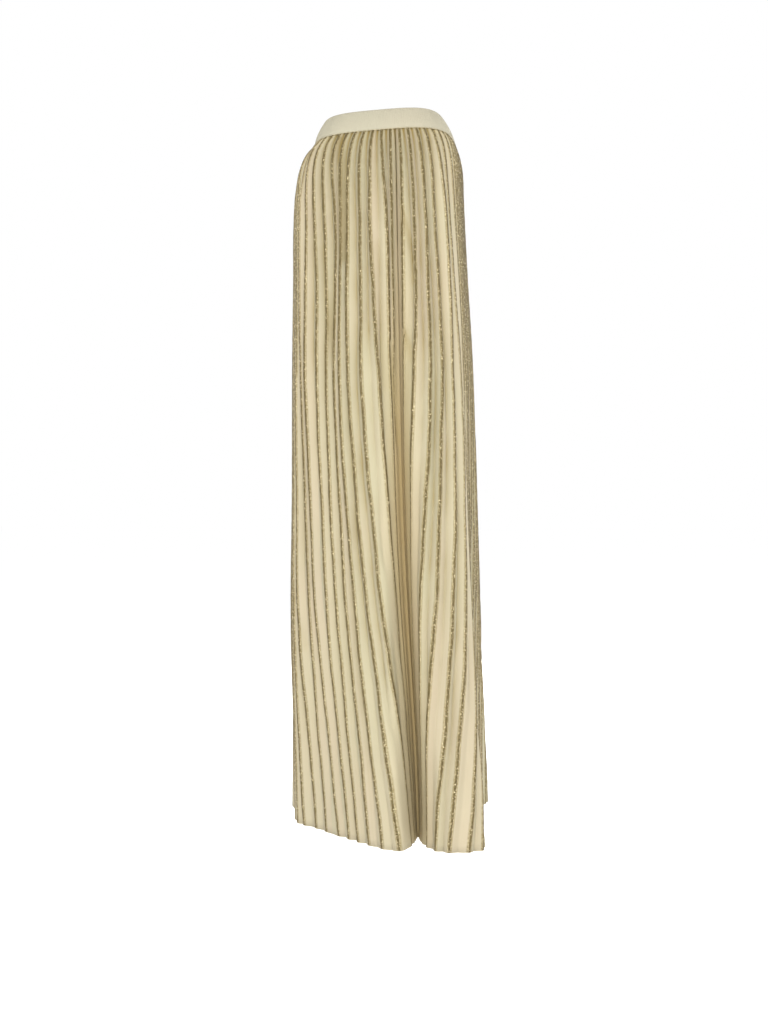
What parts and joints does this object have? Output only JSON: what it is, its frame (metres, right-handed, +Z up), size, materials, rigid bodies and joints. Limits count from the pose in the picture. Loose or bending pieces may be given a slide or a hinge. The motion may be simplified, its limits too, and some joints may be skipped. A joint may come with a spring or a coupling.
{
  "type": "pleated maxi skirt",
  "caption": "Worn pleated maxi skirt: a ribbed knit waistband over a front and a back panel of fine accordion pleats, hollow and open at waist and hem.",
  "frame": {"origin": "middle of the waistband, on the wearer's axis, where the wearer's waist holds the skirt", "axes": "+Z up along the wearer, -Y to the front of the skirt, +X to the wearer's left"},
  "size_m": [0.3786, 0.2853, 0.9299],
  "materials": {
    "pleated_knit": "fine matt viscose knit, a metallic gold rib along each crest",
    "band_knit": "matt ribbed knit over elastic"
  },
  "bodies": {
    "root": {"waistband": "band_knit", "skirt_back": "pleated_knit", "skirt_front": "pleated_knit"}
  },
  "joints": []
}
